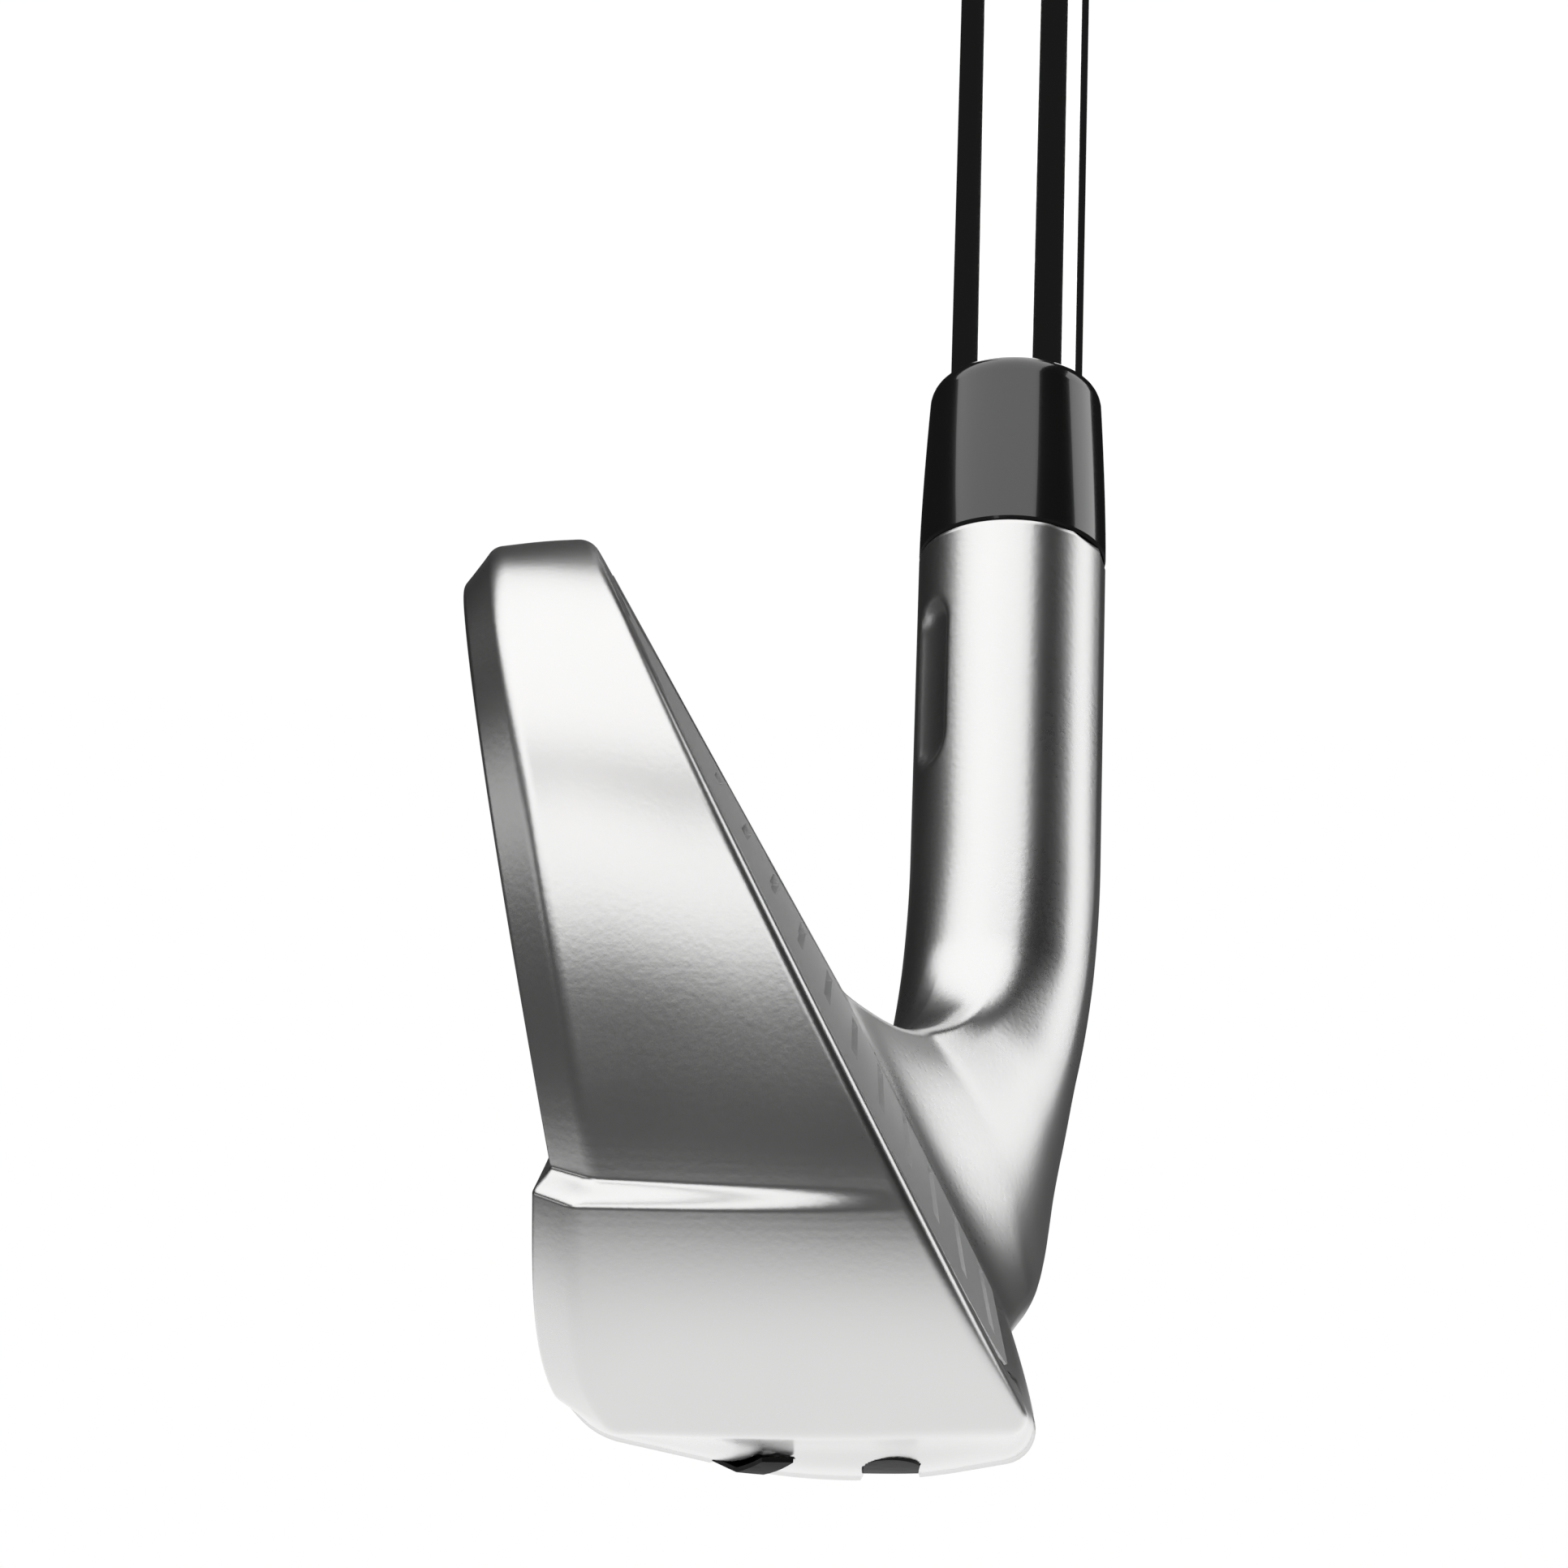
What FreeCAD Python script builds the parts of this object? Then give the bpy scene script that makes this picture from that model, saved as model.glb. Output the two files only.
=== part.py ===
import FreeCAD, Part
import math
import os

# Iron golf club at address.  Millimetres, +X towards the target (the face looks that way), +Y from toe to heel,
# +Z up, the ground at z = 0.  The origin is where the shaft's axis meets the ground.

V = FreeCAD.Vector

# ---- the club as a whole
LIE = 62.7                  # shaft axis above the ground, seen from the front
LOFT = 28.5                 # face leaning back from the vertical
CLUB_LENGTH = 940.0         # along the axis, from the ground to the top of the grip

# ---- blade: side profile near the toe
FACE_X0 = 3.28              # where the face's plane meets the ground
TOE_Y = -64.0               # the highest point of the top line
TOP_Z = 54.3
TOP_SLOPE = 0.52            # fall of the top line per millimetre towards the heel
TOPLINE_W = 5.9             # width of the top line
BEVEL_W = 1.3               # bevel behind the top line
BEVEL_H = 2.5
BACK_X = -26.7              # back plane at the ledge, at the toe
BACK_LEAN = 0.2077          # how the back plane leans back with height
BACK_TWIST = 0.1647         # how it comes forward towards the heel
LEDGE_Z = 18.7
LEDGE_DROP = 0.10           # fall of the ledge per millimetre towards the heel
LEDGE_OUT = 1.0             # how far the lower back stands out at the toe
LEDGE_GROW = 0.055          # and how this grows towards the heel
LEDGE_H = 1.4
SOLE_X = -10.0              # lowest line of the sole
LEAD_Z = 1.9
TRAIL_Z = 2.1
TRAIL_W = 3.4
TRAIL_H = 5.4
CAMBER = 1400.0             # heel-to-toe curve of the sole
CAMBER_Y = -50.0

# ---- toe outline, seen from the front
TOE_CY = -60.0
TOE_CZ = 26.0
TOE_REACH = 23.6
TOE_POWER = 2.25
TOE_STEP = 1.3              # how far the lower toe wall stands out at its back edge
TOE_BEVEL = 2.3

# ---- neck and hosel
HOSEL_R = 6.6
HOSEL_STEP = 0.12           # the turned end stands out of the neck by this
HOSEL_TOP = 61.9            # along the axis
CROTCH_R = 11.0
HEEL_R = 15.0
NECK_START = -12.0          # where the blade begins to turn into the neck
NECK_REACH = 13.0
NECK_POWER = 1.65
NECK_SET_BACK = 1.1
NECK_END = 38.0             # along the axis: round from here up
DIMPLE_R = 3.2
DIMPLE_D = 0.75
DIMPLE_LEN = 8.0
DIMPLE_FROM = 4.5
DIMPLE_TURN = 30.0
BORE_R = 4.8
BORE_DEPTH = 31.5

# ---- face plate, cavity and back
PLATE_T = 2.4
PLATE_RIM = 3.3
CAVITY_RIM = 6.2
CAVITY_T = 3.6
GROOVES = 11
GROOVE_PITCH = 3.6
GROOVE_W = 0.8
GROOVE_D = 0.4
GROOVE_FROM = 10.0
GROOVE_TOE = -58.0
GROOVE_HEEL = -15.5
WEIGHT_T = 6.0
CAP_T = 1.7
CAP_RIM = 5.2               # from the top line down to the cap
CAP_TOE = -63.6
CAP_HEEL = -16.0
CAP_FIT = 0.05
CAP_TAPE = 0.3
CAP_LAND = 2.2
BOSS_FROM = 2.2
BOSS_TO = 4.0
BOSS_H = 1.0
BADGE_IN = 4.6
BADGE_D = 0.7
FILM_T = 0.15
INLAY_IN = 1.5

# ---- sole
SLOT_X = -7.2
SLOT_W = 3.2
SLOT_FROM = -70.0
SLOT_TO = -15.0
SLOT_D = 4.2
NUMBER_X = -15.0
NUMBER_Y = -66.0
NUMBER_D = 0.45

# ---- ferrule, shaft and grip
SHAFT_TIP_D = 9.4
SHAFT_BUTT_D = 15.24
SHAFT_TIP_LEN = 205.0
SHAFT_BUTT_LEN = 300.0
SHAFT_STEPS = 15
SHAFT_WALL = 0.5
FERRULE_LEN = 13.8
FERRULE_TOP_R = 6.05
GRIP_LEN = 267.0
GRIP_MOUTH_R = 8.5
GRIP_BUTT_R = 12.2
CAP_RIM_R = 13.6
CAP_RIM_LEN = 4.0
VENT_R = 2.1
TAPE_T = 0.3
CAP_SEAT_R = 11.6
GRIP_CAP_T = 3.3
EPOXY_T = 0.3

lie = math.radians(LIE)
loft = math.radians(LOFT)
AXIS = V(0, math.cos(lie), math.sin(lie))
SIDE = V(0, -math.sin(lie), math.cos(lie))      # across the axis, towards the toe and up
NORMAL = V(math.cos(loft), 0, math.sin(loft))


def face_x(z):
    return FACE_X0 - z * math.tan(loft)


def back_x(y, z):
    return BACK_X - BACK_LEAN * (z - LEDGE_Z) + BACK_TWIST * (y - TOE_Y)


def top_z(y):
    return TOP_Z - TOP_SLOPE * (y - TOE_Y)


def sole_z(y):
    return (y - CAMBER_Y) ** 2 / CAMBER


def crotch_centre():
    """Centre of the arc that joins the top line to the toe side of the hosel."""
    slope = math.atan(TOP_SLOPE)
    reach = math.tan(lie)
    edge = HOSEL_R / math.cos(lie)
    y = (top_z(0) - edge) / (reach + TOP_SLOPE)
    z = top_z(y)
    run = CROTCH_R * math.tan((lie + slope) / 2)
    start = V(0, y - run * math.cos(slope), z + run * math.sin(slope))
    return start + V(0, math.sin(slope), math.cos(slope)) * CROTCH_R


PIVOT = crotch_centre()
FAN_T = PIVOT.dot(AXIS)


def crotch_z(y):
    """Height of the top line, with the arc that turns up to the hosel."""
    if y < PIVOT.y - CROTCH_R * math.sin(math.atan(TOP_SLOPE)):
        return top_z(y)
    return PIVOT.z - math.sqrt(CROTCH_R ** 2 - (y - PIVOT.y) ** 2)


def corners(y, top, low):
    """The blade's profile as corners (x, z, radius), from the leading edge over the face, top and back."""
    share = (y - TOE_Y) / 60.0
    ledge = LEDGE_Z - LEDGE_DROP * (y - TOE_Y)
    out = LEDGE_OUT + LEDGE_GROW * (y - TOE_Y)
    wall = back_x(y, ledge)
    lead = low + LEAD_Z
    tb_x = face_x(top) - TOPLINE_W
    bevel_z = top - 0.25 * TOPLINE_W - BEVEL_H
    lower = wall - out
    return [
        (face_x(lead), lead, 2.0),
        (face_x(top), top, 1.8),
        (tb_x, top - 0.25 * TOPLINE_W, 0.5),
        (back_x(y, bevel_z), bevel_z, 0.5),
        (wall, ledge, 1.0),
        (lower, ledge - LEDGE_H, 0.8),
        (lower + 0.2, low + TRAIL_H, 5.0 - 1.5 * share),
        (lower + TRAIL_W, low + TRAIL_Z, 4.5 - 1.5 * share),
        (SOLE_X + 2.0 * share, low - 0.6, 36.0 - 14.0 * share),
    ]


def rounded(points):
    """Turns corners into edges: a straight run, then the arc of the next corner, and so on round the loop."""
    cuts = []
    count = len(points)
    for i in range(count):
        px, pz, r = points[i]
        p = V(px, 0, pz)
        before = V(points[i - 1][0], 0, points[i - 1][1]) - p
        after = V(points[(i + 1) % count][0], 0, points[(i + 1) % count][1]) - p
        before.normalize()
        after.normalize()
        half = (math.pi - before.getAngle(after)) / 2
        setback = r * math.tan(half)
        middle = before + after
        middle.normalize()
        cuts.append((p + before * setback, p + middle * (r / math.cos(half) - r), p + after * setback))
    edges = []
    for i in range(count):
        here = cuts[i]
        there = cuts[(i + 1) % count]
        edges.append((here[2], (here[2] + there[0]) * 0.5, there[0]))
        edges.append(there)
    return edges


def blade_wire(y):
    edges = []
    for index, (a, b, c) in enumerate(rounded(corners(y, top_z(y), sole_z(y)))):
        shift = V(0, y, 0)
        if index % 2 == 0:
            edges.append(Part.makeLine(a + shift, c + shift))
        else:
            edges.append(Part.Arc(a + shift, b + shift, c + shift).toShape())
    return Part.Wire(edges)


def heel_radius(angle):
    """Distance from the pivot to the heel's outline, a rounded corner between the sole and the hosel."""
    slope = math.atan(2 * (PIVOT.y - CAMBER_Y) / CAMBER)
    low = (PIVOT.z - sole_z(PIVOT.y)) * math.cos(slope)
    out = CROTCH_R + 2 * HOSEL_R
    centre_low = low - HEEL_R
    centre_out = out - HEEL_R
    turn = lie - slope
    # centre of the heel's arc, in polar terms about the pivot
    along = (centre_out - centre_low * math.cos(turn)) / math.sin(turn)
    centre = math.hypot(along, centre_low)
    centre_angle = slope + math.atan2(along, centre_low)
    if angle < slope + math.atan2(along, low):
        return low / math.cos(angle - slope)
    across = centre * math.sin(angle - centre_angle)
    hit = centre * math.cos(angle - centre_angle) + math.sqrt(max(HEEL_R ** 2 - across ** 2, 0))
    line = out / math.cos(lie - angle)
    foot = math.tan(lie - angle) * out
    arc_end = centre * math.sin(lie - centre_angle)
    return line if foot < arc_end else hit


def smooth(value):
    value = min(max(value, 0.0), 1.0)
    return value * value * (3 - 2 * value)


def neck_wire(station):
    """One section of the neck.  A station is millimetres along the middle: Y in the blade, then round the fan."""
    fan = lie * 20.0
    angle = min(max(station - PIVOT.y, 0.0) / 20.0, lie)
    beyond = max(station - PIVOT.y - fan, 0.0)
    up = V(0, -math.sin(angle), math.cos(angle))
    if station < PIVOT.y:
        top = crotch_z(station)
        low = sole_z(station)
        base = V(0, station, 0)
    else:
        top = PIVOT.z - CROTCH_R
        low = PIVOT.z - heel_radius(angle)
        base = PIVOT - up * PIVOT.z + AXIS * beyond
    y = min(station, PIVOT.y)
    full_top = crotch_z(y)
    full_low = sole_z(y)
    stretch = (top - low) / (full_top - full_low)
    loops = rounded(corners(y, full_top, full_low))
    xs = [p.x for edge in loops for p in edge]
    mid_x = (max(xs) + min(xs)) / 2
    mid_z = (full_top + full_low) / 2
    half_x = (max(xs) - min(xs)) / 2
    half_z = (full_top - full_low) / 2
    weight = 1 - math.exp(-(max(station - NECK_START, 0) / NECK_REACH) ** NECK_POWER)
    round_end = PIVOT.y + fan + NECK_END - FAN_T
    weight = weight + (1 - weight) * smooth((station - 5) / (round_end - 5))
    ring_x = -NECK_SET_BACK * (1 - smooth((station - 5) / (round_end - 5)))
    ring_z = (top + low) / 2
    ring_h = (top - low) / 2
    edges = []
    for index, (a, b, c) in enumerate(loops):
        points = []
        for share in (0.0, 0.25, 0.5, 0.75, 1.0):
            if index % 2 == 0:
                p = a + (c - a) * share
            else:
                arc = Part.Arc(a, b, c)
                p = arc.value(arc.FirstParameter + share * (arc.LastParameter - arc.FirstParameter))
            dx = (p.x - mid_x) / half_x
            dz = (p.z - mid_z) / half_z
            size = math.hypot(dx, dz)
            ring = V(ring_x + HOSEL_R * dx / size, 0, ring_z + ring_h * dz / size)
            flat = V(p.x, 0, low + (p.z - full_low) * stretch)
            q = flat * (1 - weight) + ring * weight
            points.append(base + V(q.x, 0, 0) + up * q.z)
        curve = Part.BSplineCurve()
        curve.interpolate(points)
        edges.append(curve.toShape())
    return Part.Wire(edges)


def neck_solid():
    """The neck, lofted from the blade's heel section, with the round hosel on its end."""
    fan = PIVOT.y + lie * 20.0
    last = fan + NECK_END - FAN_T
    stations = [-9.5, -7, -4.5, PIVOT.y, 1, 4, 8, 12, 16, fan, (fan + last) / 2, last]
    wires = [blade_wire(NECK_START)] + [neck_wire(station) for station in stations]
    neck = Part.makeLoft(wires, True, False)
    hosel = on_axis(Part.makeCylinder(HOSEL_R + HOSEL_STEP, HOSEL_TOP - NECK_END, V(0, 0, NECK_END)))
    bore = on_axis(Part.makeCylinder(BORE_R, BORE_DEPTH + 1, V(0, 0, HOSEL_TOP - BORE_DEPTH)))
    return neck.fuse(hosel).cut(bore).cut(hosel_dimple())


def toe_outline(scale=1.0, grow=0.0, steps=16):
    """Points (y, z) of the toe outline from above the toe line round to the sole: two halves of a superellipse."""
    points = []
    for i in range(steps + 1):
        angle = math.pi / 2 + math.pi * i / steps
        cos = math.cos(angle)
        sin = math.sin(angle)
        height = TOP_Z + 0.25 - TOE_CZ if sin > 0 else TOE_CZ - 0.15
        power = 2 / TOE_POWER
        y = TOE_CY + scale * math.copysign(abs(cos) ** power, cos) * (TOE_REACH + grow)
        z = TOE_CZ + scale * math.copysign(abs(sin) ** power, sin) * (height + grow * 0.3)
        points.append((y, z))
    return points


def toe_ring(scale, grow, x_of):
    """The toe outline as a closed wire, shut behind the toe line, with x as a function of y and z."""
    points = [V(x_of(y, z), y, z) for y, z in toe_outline(scale, grow)]
    curve = Part.BSplineCurve()
    curve.interpolate(points)
    ends = []
    for point in (points[-1], points[0]):
        y = TOE_CY + 12
        ends.append(V(x_of(y, point.z), y, point.z))
    return Part.Wire([curve.toShape(), Part.makeLine(points[-1], ends[0]), Part.makeLine(ends[0], ends[1]),
                      Part.makeLine(ends[1], points[0])])


def toe_block():
    """The toe end: the blade's profile carried on, inside the toe outline, bevelled at the back."""
    block = Part.Face(blade_wire(TOE_Y)).extrude(V(0, -26, 0))
    plain = Part.makeLoft([toe_ring(1, 0, lambda y, z: 12.0), toe_ring(1, 0, lambda y, z: -42.0)], True, True)
    proud = Part.makeLoft([toe_ring(1, -0.6, lambda y, z: 12.0), toe_ring(1, 2.0, lambda y, z: -42.0)], True, True)
    near = 2.6
    far = 0.5
    rate = TOE_BEVEL * 10
    upper_cone = Part.makeLoft([
        toe_ring(near, 0, lambda y, z: back_x(TOE_Y, z) + TOE_BEVEL + rate * (near - 1)),
        toe_ring(far, 0, lambda y, z: back_x(TOE_Y, z) + TOE_BEVEL + rate * (far - 1))], True, True)
    flat = BACK_X - LEDGE_OUT
    lower_cone = Part.makeLoft([
        toe_ring(near, TOE_STEP, lambda y, z: flat + TOE_BEVEL + rate * (near - 1)),
        toe_ring(far, TOE_STEP, lambda y, z: flat + TOE_BEVEL + rate * (far - 1))], True, True)
    split = LEDGE_Z - LEDGE_H / 2
    above = Part.makeBox(80, 60, 60, V(-50, -100, split))
    below = Part.makeBox(80, 60, 60, V(-50, -100, split - 60))
    upper = block.common(plain).common(upper_cone).common(above)
    lower = block.common(proud).common(lower_cone).common(below)
    return upper.fuse(lower)


def on_axis(shape, along=0.0):
    """Takes a shape made round +Z to the club's axis, its origin moved up the axis."""
    shape.rotate(V(0, 0, 0), V(1, 0, 0), LIE - 90)
    shape.translate(AXIS * along)
    return shape


def turned(profile):
    """A solid of revolution round the club's axis, from corners (radius, distance along)."""
    wire = Part.makePolygon([V(r, 0, t) for r, t in profile] + [V(profile[0][0], 0, profile[0][1])])
    return on_axis(Part.Face(wire).revolve(V(0, 0, 0), V(0, 0, 1), 360))


def local_frame(origin, across, outward):
    """Placement with X across, Z outward and Y completing the frame."""
    up = outward.cross(across)
    matrix = FreeCAD.Matrix(across.x, up.x, outward.x, origin.x, across.y, up.y, outward.y, origin.y,
                            across.z, up.z, outward.z, origin.z, 0, 0, 0, 1)
    return FreeCAD.Placement(matrix)


def face_frame(depth):
    """Frame on the face, sunk by depth: X towards the heel, Y up the face, Z out."""
    return local_frame(V(FACE_X0, 0, 0) - NORMAL * depth, V(0, 1, 0), NORMAL)


BACK_NORMAL = V(-1, BACK_TWIST, -BACK_LEAN)
BACK_NORMAL.normalize()
BACK_ACROSS = V(0, 0, 1).cross(BACK_NORMAL)
BACK_ACROSS.normalize()


def back_frame(depth):
    """Frame on the back plane, sunk by depth: X towards the toe, Y up, Z out."""
    y = -38.0
    z = 30.0
    return local_frame(V(back_x(y, z), y, z) - BACK_NORMAL * depth, BACK_ACROSS, BACK_NORMAL)


def plane_point(frame, y, z):
    """The point of a frame's plane at y and z, in the frame's own coordinates."""
    normal = frame.Rotation.multVec(V(0, 0, 1))
    x = frame.Base.x - (normal.y * (y - frame.Base.y) + normal.z * (z - frame.Base.z)) / normal.x
    flat = frame.inverse().multVec(V(x, y, z))
    return V(flat.x, flat.y, 0)


def face_window(frame, rim, low_z, heel_y):
    """Closed wire in a face frame, inset by rim from the head's outline and shut by a level line at low_z."""
    points = []
    steps = 10
    power = 2 / TOE_POWER
    for i in range(steps + 1):
        angle = math.pi / 2 + math.pi * i / steps
        cos = math.cos(angle)
        sin = math.sin(angle)
        reach = TOP_Z - rim - TOE_CZ if sin > 0 else TOE_CZ - low_z
        y = TOE_CY - abs(cos) ** power * (TOE_REACH - rim)
        points.append(plane_point(frame, y, TOE_CZ + math.copysign(abs(sin) ** power, sin) * reach))
    curve = Part.BSplineCurve()
    curve.interpolate(points)
    r = 2.5
    heel_top = top_z(heel_y) - rim * 1.15
    low = plane_point(frame, heel_y - r, low_z)
    corner = plane_point(frame, heel_y - r * 0.3, low_z + r * 0.3)
    side = plane_point(frame, heel_y, low_z + r)
    high = plane_point(frame, heel_y, heel_top - r)
    turn = plane_point(frame, heel_y - r * 0.3, heel_top - r * 0.1)
    top = plane_point(frame, heel_y - r, heel_top + r * TOP_SLOPE)
    return Part.Wire([curve.toShape(), Part.makeLine(points[-1], low), Part.Arc(low, corner, side).toShape(),
                      Part.makeLine(side, high), Part.Arc(high, turn, top).toShape(),
                      Part.makeLine(top, points[0])])


def back_corners(inset):
    """Corners (y, z, radius) of the back window, inset from the cap's outline; the narrow heel end moves in more."""
    toe = CAP_TOE + inset
    heel = CAP_HEEL - inset * 3
    turn = CAP_TOE + 5 + inset * 0.6
    foot = LEDGE_Z + 1.9 + inset
    top = CAP_RIM + inset * math.hypot(1, TOP_SLOPE)
    return [
        (toe, foot - LEDGE_DROP * (toe - TOE_Y), max(3.0 - inset * 0.6, 0.6)),
        (toe - 0.3, 41.0 - inset, max(6.0 - inset * 0.6, 0.6)),
        (turn, top_z(turn) - top, max(4.0 - inset * 0.5, 0.6)),
        (heel, top_z(heel) - top, max(2.0 - inset * 0.4, 0.4)),
        (heel, foot - LEDGE_DROP * (heel - TOE_Y), max(2.0 - inset * 0.4, 0.4)),
    ]


def back_window(frame, inset, height=0.0):
    """The cap's outline in a back frame, inset all round and raised by height."""
    flat = []
    for y, z, r in back_corners(inset):
        p = plane_point(frame, y, z)
        flat.append((p.x, p.y, r))
    edges = []
    for index, (a, b, c) in enumerate(rounded(flat)):
        a, b, c = (V(p.x, p.z, height) for p in (a, b, c))
        edges.append(Part.makeLine(a, c) if index % 2 == 0 else Part.Arc(a, b, c).toShape())
    return Part.Wire(edges)


def slab(frame, wire, thickness):
    """Extrudes a wire of a frame outwards by thickness."""
    solid = Part.Face(wire).extrude(V(0, 0, thickness))
    solid.Placement = frame
    return solid


def block(frame, x0, x1, y0, y1, thickness):
    """A rectangular slab of a frame, outwards by thickness."""
    solid = Part.makeBox(x1 - x0, y1 - y0, thickness, V(x0, y0, 0))
    solid.Placement = frame
    return solid


def stadium(x, y0, y1, width, z0, z1):
    """An upright slot shape with round ends, along Y."""
    r = width / 2
    corners_ = [V(x - r, y0 + r, z0), V(x, y0, z0), V(x + r, y0 + r, z0),
                V(x + r, y1 - r, z0), V(x, y1, z0), V(x - r, y1 - r, z0)]
    wire = Part.Wire([Part.Arc(*corners_[:3]).toShape(), Part.makeLine(corners_[2], corners_[3]),
                      Part.Arc(*corners_[3:]).toShape(), Part.makeLine(corners_[5], corners_[0])])
    return Part.Face(wire).extrude(V(0, 0, z1 - z0))


def number_prism():
    """The club's number, a plain seven, as an upright prism under the toe; its top points to the heel."""
    x = NUMBER_X
    y = NUMBER_Y
    w = 3.0
    h = 4.2
    t = 1.5
    points = [(x + w, y + h), (x - w, y + h), (x - w, y + h - t), (x + 0.4, y - h), (x + 2.2, y - h),
              (x - w + 2.3, y + h - t), (x + w, y + h - t)]
    wire = Part.makePolygon([V(px, py, -2) for px, py in points + points[:1]])
    return Part.Face(wire).extrude(V(0, 0, 14))


def hosel_dimple():
    """A shallow flute on the toe side and back of the hosel."""
    r = DIMPLE_R
    low = HOSEL_TOP - DIMPLE_FROM - DIMPLE_LEN
    capsule = Part.makeCylinder(r, DIMPLE_LEN, V(0, 0, low))
    capsule = capsule.fuse(Part.makeSphere(r, V(0, 0, low))).fuse(Part.makeSphere(r, V(0, 0, low + DIMPLE_LEN)))
    out = HOSEL_R + r - DIMPLE_D
    turn = math.radians(DIMPLE_TURN)
    return on_axis(capsule).translated(V(-1, 0, 0) * (out * math.cos(turn)) + SIDE * (out * math.sin(turn)))


def head_parts():
    """The casting and everything fitted in it."""
    stations = (TOE_Y, -50.0, -36.0, -24.0, NECK_START)
    blade = Part.makeLoft([blade_wire(y) for y in stations], True, False)
    solid = blade.fuse(toe_block()).fuse(neck_solid())
    solid = solid.Solids[0]
    lifted = solid.translated(V(0, 0, NUMBER_D))
    parts = {}

    plate = slab(face_frame(PLATE_T), face_window(face_frame(PLATE_T), PLATE_RIM, 6.0, -12.5), PLATE_T)
    depth = PLATE_T + CAVITY_T
    cavity = slab(face_frame(depth), face_window(face_frame(depth), CAVITY_RIM, 9.0, -17.0), CAVITY_T)
    seat = CAP_T + CAP_TAPE
    pocket = slab(back_frame(seat), back_window(back_frame(seat), 0), seat + 6)
    opening = slab(back_frame(22), back_window(back_frame(22), CAP_LAND), 22)
    opening = opening.common(block(face_frame(depth + 40), -100, 20, -20, 80, 40.2))
    weight = block(face_frame(depth + WEIGHT_T), -74, -64, 17, 25, WEIGHT_T)
    slot = stadium(SLOT_X, SLOT_FROM, SLOT_TO, SLOT_W, -3, SLOT_D)
    number = number_prism()

    parts["slot_insert"] = slot.common(lifted)
    parts["number_fill"] = number.common(solid.translated(V(0, 0, NUMBER_D * 0.4))).cut(lifted)
    body = solid
    for tool in (plate, cavity, pocket, opening, weight, slot, number.common(solid).cut(lifted)):
        body = body.cut(tool)
    parts["head_body"] = body
    parts["toe_weight"] = weight

    grooves = []
    for i in range(GROOVES):
        s = GROOVE_FROM + i * GROOVE_PITCH
        z = s * math.cos(loft)
        heel = min(GROOVE_HEEL, TOE_Y + (TOP_Z - PLATE_RIM - 3.2 - z) / TOP_SLOPE)
        half = GROOVE_W / 2
        line = Part.makePolygon([V(GROOVE_TOE, s - half, 0), V(GROOVE_TOE, s + half, 0),
                                 V(GROOVE_TOE, s + half / 2, -GROOVE_D), V(GROOVE_TOE, s - half / 2, -GROOVE_D),
                                 V(GROOVE_TOE, s - half, 0)])
        groove = Part.Face(line).extrude(V(heel - GROOVE_TOE, 0, 0))
        groove.Placement = face_frame(0)
        grooves.append(groove)
    parts["face_plate"] = plate.cut(Part.makeCompound(grooves))

    parts["damping_bar"] = block(face_frame(depth), -62, -26, 14, 19, CAVITY_T)
    parts["hot_melt_pad"] = block(face_frame(depth), -24.5, -20, 14.5, 18, 1.6)

    fit = CAP_FIT
    base = slab(back_frame(CAP_T), back_window(back_frame(CAP_T), fit), CAP_T)
    boss = Part.makeLoft([back_window(back_frame(0), BOSS_FROM), back_window(back_frame(0), BOSS_TO, BOSS_H)], True, True)
    boss.Placement = back_frame(0)
    recess = slab(back_frame(BADGE_D - BOSS_H), back_window(back_frame(0), BADGE_IN), BADGE_D + 1)
    parts["back_cap"] = base.fuse(boss).removeSplitter().cut(recess)
    ring = slab(back_frame(seat), back_window(back_frame(seat), fit), CAP_TAPE)
    parts["cap_tape"] = ring.cut(slab(back_frame(22), back_window(back_frame(22), CAP_LAND), 30))
    film = slab(back_frame(BADGE_D - BOSS_H), back_window(back_frame(0), BADGE_IN + fit), FILM_T)
    parts["badge_film"] = film
    top = BADGE_D - BOSS_H - FILM_T
    plate_badge = slab(back_frame(top), back_window(back_frame(0), BADGE_IN + fit), BADGE_D - FILM_T)
    inlay = slab(back_frame(top - 0.2), back_window(back_frame(0), BADGE_IN + INLAY_IN), BADGE_D)
    parts["badge_plate"] = plate_badge.cut(inlay)
    parts["badge_inlay"] = inlay.common(plate_badge)
    return parts


def shaft_profile():
    """Outer radius against distance up the axis: parallel tip, even steps, parallel butt."""
    tip = SHAFT_TIP_D / 2
    butt = SHAFT_BUTT_D / 2
    start = HOSEL_TOP - BORE_DEPTH + EPOXY_T
    end = CLUB_LENGTH - GRIP_CAP_T
    rise = (butt - tip) / SHAFT_STEPS
    pitch = (end - start - SHAFT_TIP_LEN - SHAFT_BUTT_LEN) / SHAFT_STEPS
    outside = [(tip, start)]
    for i in range(SHAFT_STEPS):
        t = start + SHAFT_TIP_LEN + i * pitch
        outside += [(tip + i * rise, t), (tip + (i + 1) * rise, t + 0.8)]
    outside.append((butt, end))
    return outside


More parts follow.
